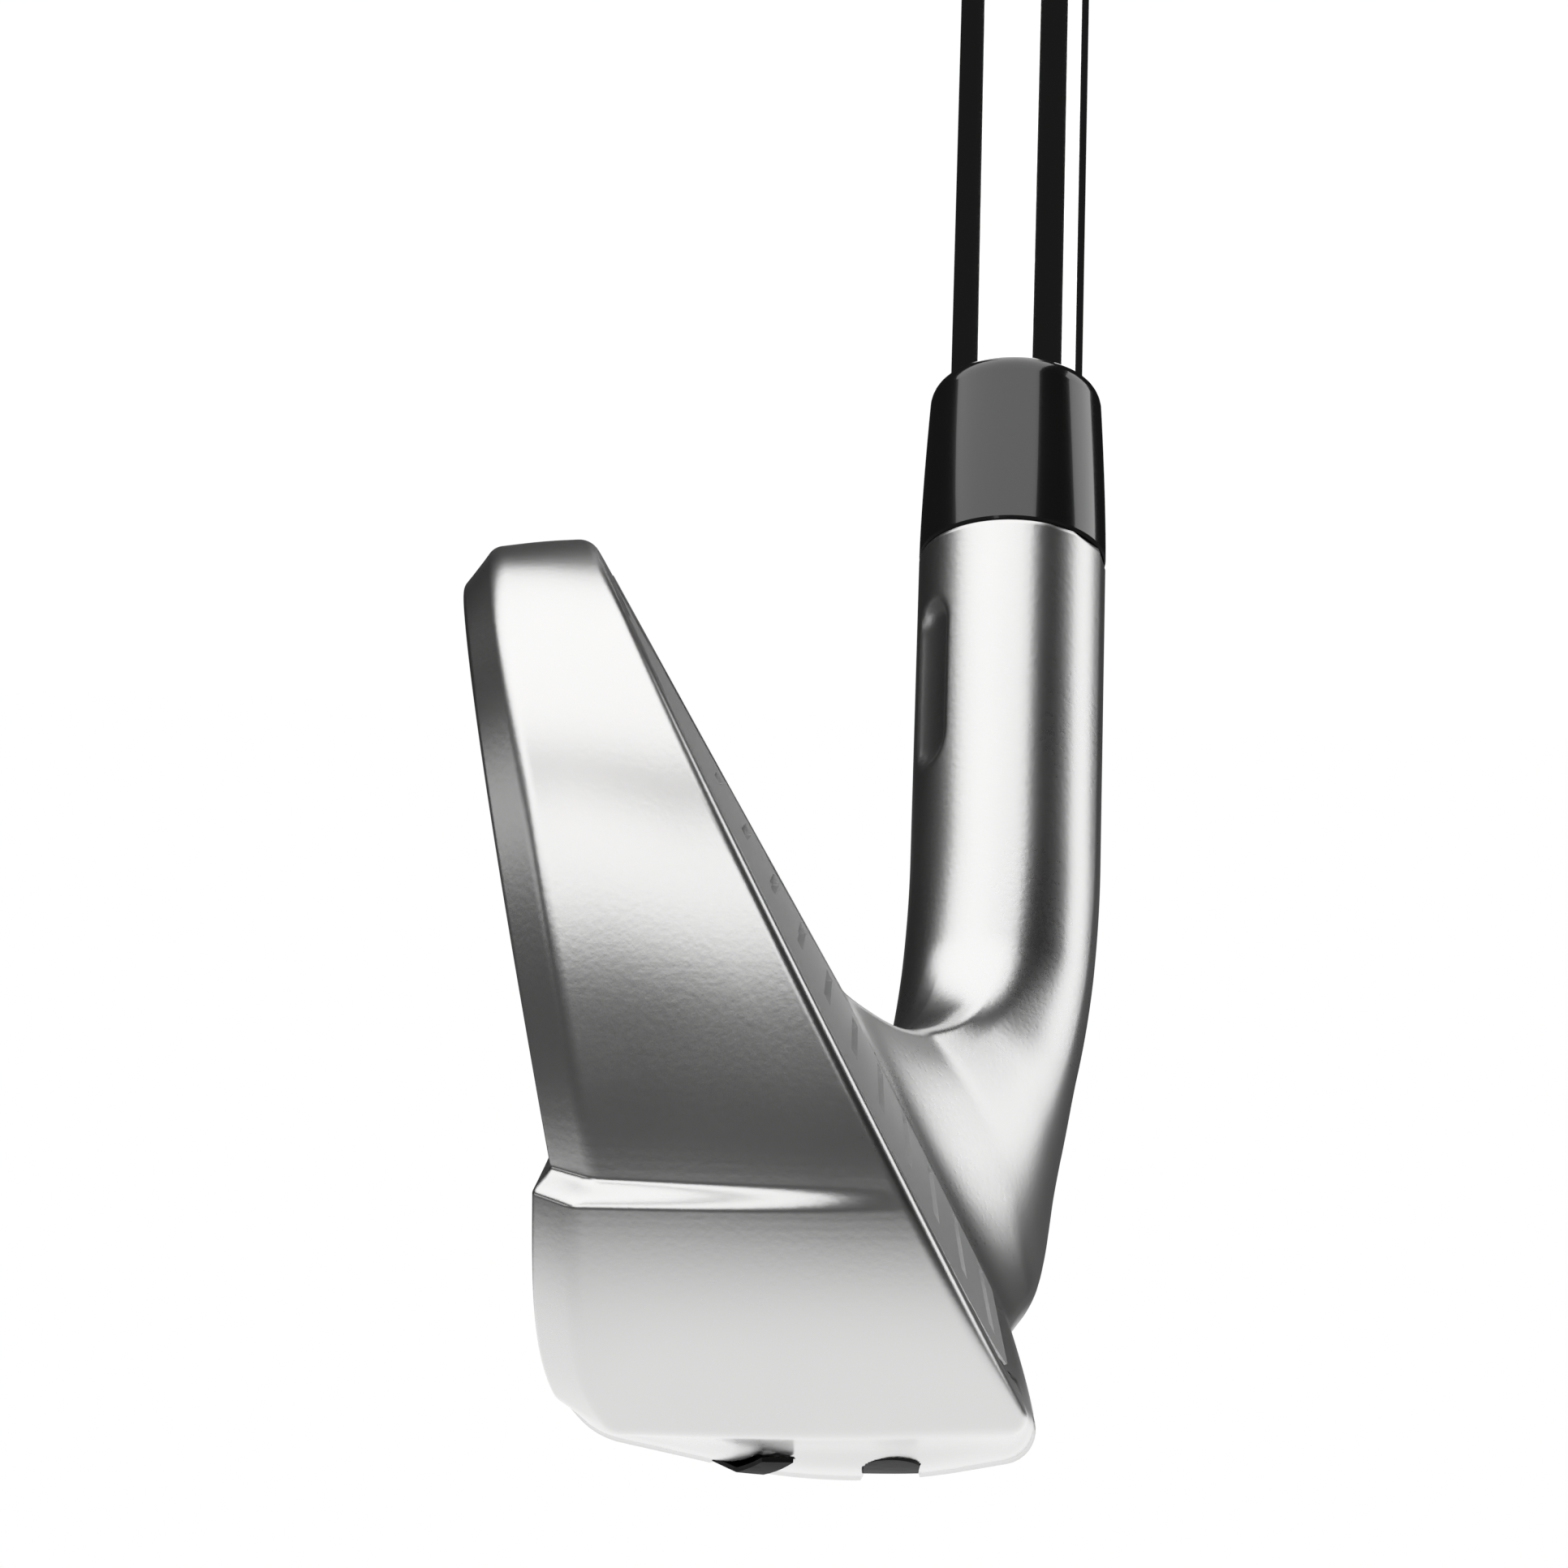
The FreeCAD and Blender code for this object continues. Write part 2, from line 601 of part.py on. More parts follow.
def stick_parts():
    """Everything that is round on the club's axis."""
    outside = shaft_profile()
    inside = [(r - SHAFT_WALL, t) for r, t in reversed(outside)]
    tip = SHAFT_TIP_D / 2
    butt = SHAFT_BUTT_D / 2
    start = outside[0][1]
    mouth = CLUB_LENGTH - GRIP_LEN
    end = CLUB_LENGTH - GRIP_CAP_T
    parts = {}
    parts["shaft"] = turned(outside + inside)
    base = HOSEL_TOP - BORE_DEPTH
    parts["hosel_epoxy"] = turned([(0, base), (BORE_R, base), (BORE_R, HOSEL_TOP), (tip, HOSEL_TOP), (tip, start),
                                   (0, start)])
    parts["tip_weight"] = turned([(0, start), (tip - SHAFT_WALL, start), (tip - SHAFT_WALL, start + 22),
                                  (tip - SHAFT_WALL - 0.6, start + 22.6), (0, start + 22.6)])
    top = HOSEL_TOP + FERRULE_LEN
    shoulder = [(tip + (FERRULE_TOP_R - tip) * math.cos(a), top - 1.6 + 1.6 * math.sin(a))
                for a in (0.3, 0.6, 0.9, 1.2, math.pi / 2)]
    parts["ferrule"] = turned([(tip, HOSEL_TOP), (HOSEL_R, HOSEL_TOP), (FERRULE_TOP_R, top - 1.6)] + shoulder)
    parts["shaft_band"] = turned([(butt, mouth - 34), (butt + 0.06, mouth - 34), (butt + 0.06, mouth - 6),
                                  (butt, mouth - 6)])
    parts["grip_tape"] = turned([(butt, mouth + 1), (butt + TAPE_T, mouth + 1), (butt + TAPE_T, end), (butt, end)])
    inner = butt + TAPE_T
    lip = CLUB_LENGTH - CAP_RIM_LEN - 0.5
    parts["grip"] = turned([(inner, mouth), (GRIP_MOUTH_R - 0.3, mouth), (GRIP_MOUTH_R, mouth + 0.5),
                            (GRIP_MOUTH_R + 0.5, mouth + 40), (GRIP_BUTT_R - 0.5, lip - 40), (GRIP_BUTT_R, lip),
                            (CAP_SEAT_R, lip), (CAP_SEAT_R, end), (inner, end)])
    parts["grip_cap"] = turned([(VENT_R, end), (CAP_SEAT_R, end), (CAP_SEAT_R, lip), (CAP_RIM_R, lip),
                                (CAP_RIM_R, CLUB_LENGTH - 0.5), (CAP_RIM_R - 0.5, CLUB_LENGTH), (VENT_R, CLUB_LENGTH)])
    return parts


def main():
    os.makedirs("parts", exist_ok=True)
    parts = head_parts()
    parts.update(stick_parts())
    for name, shape in parts.items():
        shape.exportStep("parts/" + name + ".step")


main()
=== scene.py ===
import math

import bpy
import numpy as np
from mathutils import Matrix, Vector

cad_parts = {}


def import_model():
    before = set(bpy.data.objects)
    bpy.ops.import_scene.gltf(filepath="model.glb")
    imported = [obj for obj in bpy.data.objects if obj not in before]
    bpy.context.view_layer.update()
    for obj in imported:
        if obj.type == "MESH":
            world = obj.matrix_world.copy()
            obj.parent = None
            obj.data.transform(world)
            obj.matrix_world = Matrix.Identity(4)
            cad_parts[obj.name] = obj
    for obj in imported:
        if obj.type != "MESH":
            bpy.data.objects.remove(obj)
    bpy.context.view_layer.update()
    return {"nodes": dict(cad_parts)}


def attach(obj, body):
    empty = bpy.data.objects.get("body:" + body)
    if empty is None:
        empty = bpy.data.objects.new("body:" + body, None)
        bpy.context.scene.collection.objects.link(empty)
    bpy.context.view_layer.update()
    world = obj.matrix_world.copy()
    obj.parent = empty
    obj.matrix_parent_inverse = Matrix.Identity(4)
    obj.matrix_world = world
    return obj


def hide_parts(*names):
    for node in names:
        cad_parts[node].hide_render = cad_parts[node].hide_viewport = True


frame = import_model()

# Lengths below are millimetres in the club's own frame: +X the target, +Y from toe to heel, +Z up.
MM = 0.001

# ---- the head's driving sizes
LIE = math.radians(62.7)
LOFT = math.radians(28.5)
FACE_X0 = 3.28
TOE_Y = -64.0
TOP_Z = 54.3
TOP_SLOPE = 0.52
TOPLINE_W = 5.9
BACK_X = -26.7
BACK_LEAN = 0.2077
BACK_TWIST = 0.1647
LEDGE_Z = 18.7
LEDGE_DROP = 0.10
LEDGE_H = 1.4
CAMBER = 1400.0
CAMBER_Y = -50.0
TOE_CY = -60.0
TOE_CZ = 26.0
TOE_REACH = 23.6
TOE_POWER = 2.25
TOE_STEP = 1.3
TOE_BEVEL = 2.3
SEAM_Y = -58.0
HOSEL_R = 6.6
HOSEL_TOP = 61.9
CROTCH_R = 11.0
HEEL_R = 15.0
NECK_START = -12.0
NECK_END = 38.0
BORE_R = 4.8
FERRULE_LEN = 13.8
TOPLINE_DROP = 0.25
BEVEL_H = 2.5
LEAD_Z = 1.9
TRAIL_Z = 2.1
TRAIL_W = 3.4
TRAIL_H = 5.4
LEDGE_OUT = 1.0
LEDGE_GROW = 0.055
SOLE_X = -10.0

# ---- the slot in the sole
SLOT_X = -7.2
SLOT_FROM = -70.0
SLOT_TO = -15.0
SLOT_R = 1.6

# ---- the shaft and the grip
CLUB_LENGTH = 940.0
BORE_DEPTH = 31.5
EPOXY_T = 0.3
SHAFT_TIP_R = 4.7
SHAFT_BUTT_R = 7.62
SHAFT_TIP_LEN = 205.0
SHAFT_BUTT_LEN = 300.0
SHAFT_STEPS = 15
SHAFT_WALL = 0.5
GRIP_LEN = 267.0
GRIP_CAP_T = 3.3
LIP_LEN = 4.5

AXIS = np.array([0, math.cos(LIE), math.sin(LIE)])
SIDE = np.array([0, -math.sin(LIE), math.cos(LIE)])
CROSS = np.array([1.0, 0, 0])


# ---------------------------------------------------------------- surfaces

def piece(name, points, faces, finish, replaces=(), crease=None):
    """A mesh from points in millimetres and its quads or triangles, smooth, riding on the club."""
    mesh = bpy.data.meshes.new(name)
    mesh.from_pydata((np.asarray(points, float) * MM).tolist(), [], np.asarray(faces).tolist())
    mesh.validate()
    mesh.shade_smooth()
    if crease:
        mesh.set_sharp_from_angle(angle=math.radians(crease))
    mesh.materials.append(finish)
    made = bpy.data.objects.new(name, mesh)
    bpy.context.scene.collection.objects.link(made)
    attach(made, "root")
    if replaces:
        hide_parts(*replaces)
    return made


def grid_faces(rows, columns, around=True, start=0):
    """Quads of a grid of rows by columns, the columns closed on themselves when around."""
    last = columns if around else columns - 1
    i, j = np.meshgrid(np.arange(rows - 1), np.arange(last), indexing="ij")
    a = i * columns + j
    b = i * columns + (j + 1) % columns
    quads = np.stack([a, b, b + columns, a + columns], axis=-1).reshape(-1, 4)
    return quads + start


def turned(name, profile, finish, replaces=(), sides=128, relief=None, crease=30):
    """Turns a closed profile of corners (radius r, distance t along the axis) once round the club's axis.

    The point at angle a is t along AXIS, plus r cos a along CROSS, plus r sin a along SIDE.
    """
    profile = np.asarray(profile, float)
    angle = np.linspace(0, 2 * math.pi, sides, endpoint=False)
    r = np.repeat(profile[:, :1], sides, axis=1)
    t = np.repeat(profile[:, 1:], sides, axis=1)
    if relief is not None:
        r = r + relief(angle[None, :], t, r)
    ring = np.cos(angle)[:, None] * CROSS + np.sin(angle)[:, None] * SIDE
    points = r[..., None] * ring[None] + t[..., None] * AXIS
    rows = len(profile)
    i, j = np.meshgrid(np.arange(rows), np.arange(sides), indexing="ij")
    a = i * sides + j
    b = i * sides + (j + 1) % sides
    up = ((i + 1) % rows) * sides
    quads = np.stack([a, b, up + (j + 1) % sides, up + j], axis=-1).reshape(-1, 4)
    return piece(name, points.reshape(-1, 3), quads, finish, replaces, crease)


def lerp(a, b, share):
    return a + (b - a) * share


def smooth(value):
    value = np.clip(value, 0.0, 1.0)
    return value * value * (3 - 2 * value)


def face_x(z):
    return FACE_X0 - z * math.tan(LOFT)


def back_x(y, z):
    return BACK_X - BACK_LEAN * (z - LEDGE_Z) + BACK_TWIST * (np.maximum(y, TOE_Y) - TOE_Y)


def top_z(y):
    return TOP_Z - TOP_SLOPE * (y - TOE_Y)


def sole_z(y):
    return (y - CAMBER_Y) ** 2 / CAMBER


def ledge_z(y):
    return LEDGE_Z - LEDGE_DROP * (np.maximum(y, TOE_Y) - TOE_Y)


def crotch_centre():
    """Centre (y, z) of the arc that joins the top line to the toe side of the hosel."""
    slope = math.atan(TOP_SLOPE)
    y = (top_z(0) - HOSEL_R / math.cos(LIE)) / (math.tan(LIE) + TOP_SLOPE)
    run = CROTCH_R * math.tan((LIE + slope) / 2)
    return (y - run * math.cos(slope) + math.sin(slope) * CROTCH_R,
            top_z(y) + run * math.sin(slope) + math.cos(slope) * CROTCH_R)


PIVOT_Y, PIVOT_Z = crotch_centre()
FAN_T = PIVOT_Y * math.cos(LIE) + PIVOT_Z * math.sin(LIE)


def corners(y, top, low):
    """The blade's section as nine corners (x, z) and their radii, up the face and down the back."""
    share = (y - TOE_Y) / 60.0
    ledge = ledge_z(y)
    wall = back_x(y, ledge)
    lower = wall - LEDGE_OUT - LEDGE_GROW * (y - TOE_Y)
    edge_z = top - TOPLINE_DROP * TOPLINE_W
    bevel_z = edge_z - BEVEL_H
    points = [(face_x(low + LEAD_Z), low + LEAD_Z), (face_x(top), top), (face_x(top) - TOPLINE_W, edge_z),
              (back_x(y, bevel_z), bevel_z), (wall, ledge), (lower, ledge - LEDGE_H),
              (lower + 0.2, low + TRAIL_H), (lower + TRAIL_W, low + TRAIL_Z), (SOLE_X + 2 * share, low - 0.6)]
    radii = [2.0, 1.8, 0.5, 0.5, 1.0, 0.8, 5 - 1.5 * share, 4.5 - 1.5 * share, 36 - 14 * share]
    return np.array(points, float), np.array(radii, float)


RUNS = np.array([0.03, 0.06, 0.09, 0.12, 0.16, 0.25, 0.4, 0.55, 0.7, 0.82, 0.88, 0.92, 0.95, 0.98])


def fillets(points, radii, steps):
    """Rounds the inner corners of rows of polylines: a tangent arc at each, then the run to the next one.

    points is (rows, corners, 2); the first and last corners only give directions.  steps is per corner.
    """
    here = points[:, 1:-1]
    before = points[:, :-2] - here
    after = points[:, 2:] - here
    before /= np.linalg.norm(before, axis=2, keepdims=True)
    after /= np.linalg.norm(after, axis=2, keepdims=True)
    inner = np.arccos(np.clip((before * after).sum(2), -1, 1 - 1e-12)) / 2
    inner = np.minimum(inner, math.pi / 2 - 1e-5)
    middle = before + after
    middle /= np.maximum(np.linalg.norm(middle, axis=2, keepdims=True), 1e-12)
    back_off = (radii / np.tan(inner))[..., None]
    centre = here + middle * (radii / np.sin(inner))[..., None]
    start = here + before * back_off
    end = here + after * back_off
    turn = (math.pi - 2 * inner)[..., None]
    parts = []
    for c in range(here.shape[1]):
        share = np.linspace(0, 1, steps[c] + 1)[None, :, None]
        omega = np.maximum(turn[:, c:c + 1], 1e-6)
        d0 = (start[:, c] - centre[:, c])[:, None]
        d1 = (end[:, c] - centre[:, c])[:, None]
        arc = (np.sin((1 - share) * omega) * d0 + np.sin(share * omega) * d1) / np.sin(omega)
        parts.append(centre[:, c][:, None] + arc)
        if c + 1 < here.shape[1]:
            run = RUNS[None, :, None]
            parts.append(lerp(end[:, c][:, None], start[:, c + 1][:, None], run))
    return np.concatenate(parts, axis=1)


BLADE_STEPS = [8, 10, 5, 5, 8, 8, 12, 12, 90]


def section(y, top, low):
    """The closed section of the blade at y, as points (x, z)."""
    points, radii = corners(y, top, low)
    closed = np.concatenate([points[-1:], points, points[:1]])[None]
    loop = fillets(closed, radii[None], BLADE_STEPS)[0]
    tail = lerp(loop[-1], loop[0], RUNS[:, None])
    return np.concatenate([loop, tail])


def stadium(x, y, x0, y0, y1, r):
    """Signed distance into a slot with round ends along Y: positive inside."""
    reach = np.clip(y, y0 + r, y1 - r)
    return r - np.hypot(x - x0, y - reach)


def stroke(x, y, ax, ay, bx, by, half):
    """Signed distance into a straight stroke from a to b: positive inside."""
    length = math.hypot(bx - ax, by - ay)
    ux, uy = (bx - ax) / length, (by - ay) / length
    along = (x - ax) * ux + (y - ay) * uy
    across = np.abs(-(x - ax) * uy + (y - ay) * ux)
    return np.minimum(half - across, np.minimum(along, length - along))


def seven(x, y):
    """Signed distance into the number: a bar on the heel side and a stem from its rear end to the toe."""
    bar = stroke(x, y, -18.0, -62.55, -12.0, -62.55, 0.75)
    stem = stroke(x, y, -17.3, -62.2, -13.6, -70.2, 0.85)
    return np.maximum(bar, np.where(y < -61.8, stem, -1))


def face_window(y, z):
    """Signed distance into the face plate's window."""
    toe = (np.abs(np.minimum(y - TOE_CY, 0) / 20.3)) ** TOE_POWER
    high = np.where(z > TOE_CZ, 25.0, 20.0)
    oval = (1 - (toe + np.abs((z - TOE_CZ) / high) ** TOE_POWER) ** (1 / TOE_POWER)) * 20
    oval = np.where(y < TOE_CY, oval, 50.0)
    return np.minimum.reduce([oval, (top_z(y) - 3.9 - z) * 0.88, z - 6.0, -12.5 - y])


def back_window(y, z):
    """Signed distance into the back cap's window."""
    return np.minimum.reduce([y + 63.6, -16.0 - y, (top_z(y) - 5.2 - z) * 0.88, z - ledge_z(y) - 1.9])


def carve(p):
    """Sinks the slot, the number and the two windows into the skin."""
    x, y, z = p[..., 0], p[..., 1], p[..., 2]
    under = (z < 7).astype(float)
    slot = smooth(stadium(x, y, SLOT_X, SLOT_FROM, SLOT_TO, SLOT_R) / 0.12) * 1.2
    number = smooth(seven(x, y) / 0.16 + 0.5) * 0.7
    on_face = np.abs(x - face_x(z)) < 0.02
    on_back = np.abs(x - back_x(y, z)) < 0.1
    sunk_face = smooth(face_window(y, z) / 0.5) * 0.7 * on_face
    sunk_back = smooth(back_window(y, z) / 0.5) * 0.7 * on_back
    p = p.copy()
    p[..., 2] += under * np.maximum(slot, number)
    p[..., 0] += sunk_back - sunk_face
    return p


def heel_radius(angle):
    """Distance from the crotch's centre to the heel's outline, a rounded corner between sole and hosel."""
    slope = math.atan(2 * (PIVOT_Y - CAMBER_Y) / CAMBER)
    low = (PIVOT_Z - sole_z(PIVOT_Y)) * math.cos(slope)
    out = CROTCH_R + 2 * HOSEL_R
    turn = LIE - slope
    along = (out - HEEL_R - (low - HEEL_R) * math.cos(turn)) / math.sin(turn)
    centre = math.hypot(along, low - HEEL_R)
    centre_angle = slope + math.atan2(along, low - HEEL_R)
    if angle < slope + math.atan2(along, low):
        return low / math.cos(angle - slope)
    across = centre * math.sin(angle - centre_angle)
    hit = centre * math.cos(angle - centre_angle) + math.sqrt(max(HEEL_R ** 2 - across ** 2, 0))
    foot = math.tan(LIE - angle) * out
    return out / math.cos(LIE - angle) if foot < centre * math.sin(LIE - centre_angle) else hit


def crotch_z(y):
    if y < PIVOT_Y - CROTCH_R * math.sin(math.atan(TOP_SLOPE)):
        return top_z(y)
    return PIVOT_Z - math.sqrt(CROTCH_R ** 2 - (y - PIVOT_Y) ** 2)


def neck_ring(station):
    """One section of the neck, turned about the crotch's centre.

    Each point of the blade's section is drawn along its own radius towards a circle, the more so the
    nearer the station is to the hosel.
    """
    fan = LIE * 20.0
    angle = min(max(station - PIVOT_Y, 0.0) / 20.0, LIE)
    beyond = max(station - PIVOT_Y - fan, 0.0)
    up = np.array([0, -math.sin(angle), math.cos(angle)])
    if station < PIVOT_Y:
        top, low, base = crotch_z(station), sole_z(station), np.array([0, station, 0.0])
    else:
        top, low = PIVOT_Z - CROTCH_R, PIVOT_Z - heel_radius(angle)
        base = np.array([0, PIVOT_Y, PIVOT_Z]) - up * PIVOT_Z + AXIS * beyond
    y = min(station, PIVOT_Y)
    full_top, full_low = crotch_z(y), sole_z(y)
    loop = section(y, full_top, full_low)
    mid_x = (loop[:, 0].max() + loop[:, 0].min()) / 2
    half_x = (loop[:, 0].max() - loop[:, 0].min()) / 2
    half_z = (full_top - full_low) / 2
    round_end = PIVOT_Y + fan + NECK_END - FAN_T
    weight = 1 - math.exp(-(max(station - NECK_START, 0) / 13.0) ** 1.65)
    late = float(smooth((station - 5) / (round_end - 5)))
    weight = weight + (1 - weight) * late
    dx = (loop[:, 0] - mid_x) / half_x
    dz = (loop[:, 1] - (full_top + full_low) / 2) / half_z
    size = np.hypot(dx, dz)
    ring_x = -1.1 * (1 - late) + HOSEL_R * dx / size
    ring_z = (top + low) / 2 + (top - low) / 2 * dz / size
    flat_z = low + (loop[:, 1] - full_low) * (top - low) / (full_top - full_low)
    x = lerp(loop[:, 0], ring_x, weight)
    z = lerp(flat_z, ring_z, weight)
    return base + x[:, None] * CROSS + z[:, None] * up


def dimple(p):
    """Sinks the flute on the hosel's toe side and back."""
    t = p @ AXIS
    side = p @ SIDE
    x = p[..., 0]
    around = np.arctan2(side, -x) - math.radians(30)
    reach = np.clip(t, 45.9, 54.9)
    deep = 1 - (HOSEL_R * around / 2.1) ** 2 - ((t - reach) / 2.2) ** 2
    sink = 0.6 * np.clip(deep, 0, 1) * smooth(deep / 0.5) * (np.abs(around) < 1)
    out = np.stack([x, side * SIDE[1], side * SIDE[2]], axis=-1) / HOSEL_R
    return p - out * sink[..., None]


def tube_points():
    """The blade from the toe seam to the heel, the neck, the hosel and its bore, as rings."""
    coarse = np.arange(SEAM_Y, NECK_START, 2.0)
    slot_end = np.arange(SLOT_TO - 2.2, SLOT_TO + 0.4, 0.2)
    ys = np.unique(np.concatenate([coarse, slot_end, [-13.0]]))
    rings = []
    for y in ys:
        loop = section(y, top_z(y), sole_z(y))
        rings.append(carve(np.stack([loop[:, 0], np.full(len(loop), y), loop[:, 1]], axis=1)))
    fan = PIVOT_Y + LIE * 20.0
    end = fan + HOSEL_TOP - FAN_T
    bend = np.arange(NECK_START, fan + 8, 0.75)
    straight = np.arange(fan + 8.2, end - 0.3, 0.4)
    for station in np.concatenate([bend, straight]):
        rings.append(dimple(neck_ring(station)))
    last = neck_ring(end)
    middle = AXIS * HOSEL_TOP
    across = (last - middle) / HOSEL_R
    rings.append(middle - AXIS * 0.25 + across * HOSEL_R)
    rings.append(middle - AXIS * 0.07 + across * (HOSEL_R - 0.07))
    rings.append(middle + across * (HOSEL_R - 0.25))
    rings.append(middle + across * BORE_R)
    rings.append(middle - AXIS * 12 + across * BORE_R)
    rings.append(middle - AXIS * 12 + across * 0.01)
    return np.stack(rings)


def toe_rows():
    """The outline of the toe: points (y, z) and outward normals, from the top line round to the sole.

    Along the top line and the sole it is straight or gently cambered; between them it is half a superellipse.
    """
    power = 2 / TOE_POWER
    share = np.linspace(0, 1, 141)[1:-1]
    angle = math.pi / 2 + math.pi * share
    cos, sin = np.abs(np.cos(angle)), np.sin(angle)
    y = TOE_CY - cos ** power * TOE_REACH
    z = TOE_CZ + np.sign(sin) * np.abs(sin) ** power * np.where(sin > 0, TOP_Z + 0.25 - TOE_CZ, TOE_CZ - 0.15)
    side = y < TOE_Y
    y, z = y[side], z[side]
    top_y = np.array([SEAM_Y, -59.0, -60.2, -61.4, -62.4, -63.2])
    low_y = np.arange(-63.9, SEAM_Y + 0.01, 0.15)
    line = np.concatenate([np.stack([top_y, top_z(top_y)], 1), np.stack([y, z], 1),
                           np.stack([low_y, sole_z(low_y)], 1)])
    # finer steps at the ledge and under the toe
    length = np.concatenate([[0], np.cumsum(np.hypot(*np.diff(line, axis=0).T))])
    ledge = np.interp(ledge_z(-82.0), line[::-1, 1], length[::-1])
    low = np.interp(5.6, line[::-1, 1], length[::-1])
    steps = np.concatenate([np.linspace(0, 6, 9), np.arange(6.6, ledge - 3, 0.9),
                            np.arange(ledge - 3, ledge + 3, 0.09), np.arange(ledge + 3.3, low, 0.6),
                            np.arange(low, length[-1], 0.15), [length[-1]]])
    steps = np.unique(steps)
    y = np.interp(steps, length, line[:, 0])
    z = np.interp(steps, length, line[:, 1])
    dy = np.interp(steps + 0.4, length, line[:, 0]) - np.interp(steps - 0.4, length, line[:, 0])
    dz = np.interp(steps + 0.4, length, line[:, 1]) - np.interp(steps - 0.4, length, line[:, 1])
    turn = np.arctan2(-dy, -dz)
    blend_top = smooth((steps - 2.0) / 8.0)
    blend_low = smooth((length[-1] - 4.0 - steps) / 6.0)
    turn = lerp(math.pi / 2, turn, blend_top)
    turn = lerp(-math.pi / 2, turn, blend_low)
    return y, z, -np.cos(turn), np.sin(turn), steps


def toe_points():
    """The toe's skin: each row crosses the face, the rounded wall, the bevel and the back.

    A row starts from a point of the toe's outline and its outward normal, and its ends meet the blade's seam.
    """
    y, z, ny, nz, steps = toe_rows()
    top = 1 - smooth(steps / 14.0)
    low = smooth((5.2 - z) / 4.0) * (z < 10)
    side = np.clip(1 - top - low, 0, 1)
    step = smooth((ledge_z(y) - z) / LEDGE_H)
    out = TOE_STEP * step * (1 - low)

    def on_face(n):
        return face_x(z + nz * n)

    def on_back(n):
        height = z + nz * n
        trail = 9.0 * np.exp(-np.maximum(height, 0) / 2.9) * (1 - low)
        grown = LEDGE_OUT + LEDGE_GROW * (np.maximum(y, TOE_Y) - TOE_Y)
        return back_x(y, np.maximum(height, ledge_z(y))) + step * (trail - grown)

    drop = TOPLINE_DROP * TOPLINE_W
    a_n = -LEAD_Z * low
    b1_n = -drop * top - TRAIL_Z * low + out
    b2_n = -(drop + BEVEL_H) * top - TOE_BEVEL * side - TRAIL_H * low + out
    b2_x = on_back(b2_n) + 0.2 * low
    a_x = on_face(a_n)
    b1_x = top * (a_x - TOPLINE_W) + side * (on_back(b1_n) + TOE_BEVEL) + low * (b2_x + TRAIL_W - 0.2)
    s_x = lerp(lerp(a_x, b1_x, 0.5), SOLE_X, low)
    s_n = lerp(lerp(a_n, b1_n, 0.5) + 0.02 * (a_x - b1_x), 0.6, low)
    deep = 9.0
    corners_ = np.stack([np.stack([on_face(a_n - deep), a_n - deep], 1), np.stack([a_x, a_n], 1),
                         np.stack([s_x, s_n], 1), np.stack([b1_x, b1_n], 1), np.stack([b2_x, b2_n], 1),
                         np.stack([on_back(b2_n - deep), b2_n - deep], 1)], axis=1)
    radii = np.stack([lerp(lerp(0.9, 1.8, top), 2.0, low), lerp(6.0 * (a_x - b1_x), 36.0, low),
                      lerp(lerp(1.5, 0.5, top), 4.5, low), lerp(lerp(0.7, 0.5, top), 5.0, low)], axis=1)
    rows = fillets(corners_, radii, [10, 90, 12, 12])
    x, n = rows[..., 0], rows[..., 1]
    wall = np.stack([x, y[:, None] + ny[:, None] * n, z[:, None] + nz[:, None] * n], axis=-1)
    scale = np.where(z > TOE_CZ, (49.5 - TOE_CZ) / (top_z(SEAM_Y) + 2.3 - TOE_CZ),
                     (TOE_CZ - 7.5) / (TOE_CZ - 0.75))
    inner_z = TOE_CZ + (z - TOE_CZ) * scale
    inner_z = np.minimum(inner_z, 46.6)

    def inner(y_in, x_of):
        return np.stack([x_of(y_in, inner_z), np.full(len(inner_z), y_in), inner_z], axis=-1)

    def ledge_back(y_in, zs):
        share = smooth((ledge_z(y_in) - zs) / LEDGE_H)
        grown = LEDGE_OUT + LEDGE_GROW * (y_in - TOE_Y) - 0.2 * smooth((ledge_z(y_in) - zs) / 12)
        return back_x(y_in, np.maximum(zs, ledge_z(y_in))) - share * grown

    face_in = inner(SEAM_Y, lambda y_in, zs: face_x(zs))
    back_mid = inner(TOE_Y + 0.2, ledge_back)
    back_in = inner(SEAM_Y, ledge_back)
    shares = RUNS[:, None]
    face_run = lerp(face_in[:, None], wall[:, :1], np.concatenate([[[0.0]], shares]))
    back_run = lerp(wall[:, -1:], back_mid[:, None], shares)
    tail = np.stack([back_mid, lerp(back_mid, back_in, 0.5), back_in], axis=1)
    return carve(np.concatenate([face_run, wall, back_run, tail], axis=1))


# ---------------------------------------------------------------- finishes

class Value:
    """A socket's number; arithmetic on it adds Math nodes."""

    def __init__(self, finish, socket):
        self.finish = finish
        self.socket = socket

    def _do(self, operation, left, right):
        return self.finish.node("ShaderNodeMath", {"operation": operation}, {0: left, 1: right}).value()

    def __add__(self, other):
        return self._do("ADD", self, other)

    def __sub__(self, other):
        return self._do("SUBTRACT", self, other)

    def __rsub__(self, other):
        return self._do("SUBTRACT", other, self)

    def __mul__(self, other):
        return self._do("MULTIPLY", self, other)

    __radd__ = __add__
    __rmul__ = __mul__


class Made:
    """A node just made, with its outputs by name."""

    def __init__(self, finish, node):
        self.finish = finish
        self.node = node

    def value(self, name=0):
        return Value(self.finish, self.node.outputs[name])


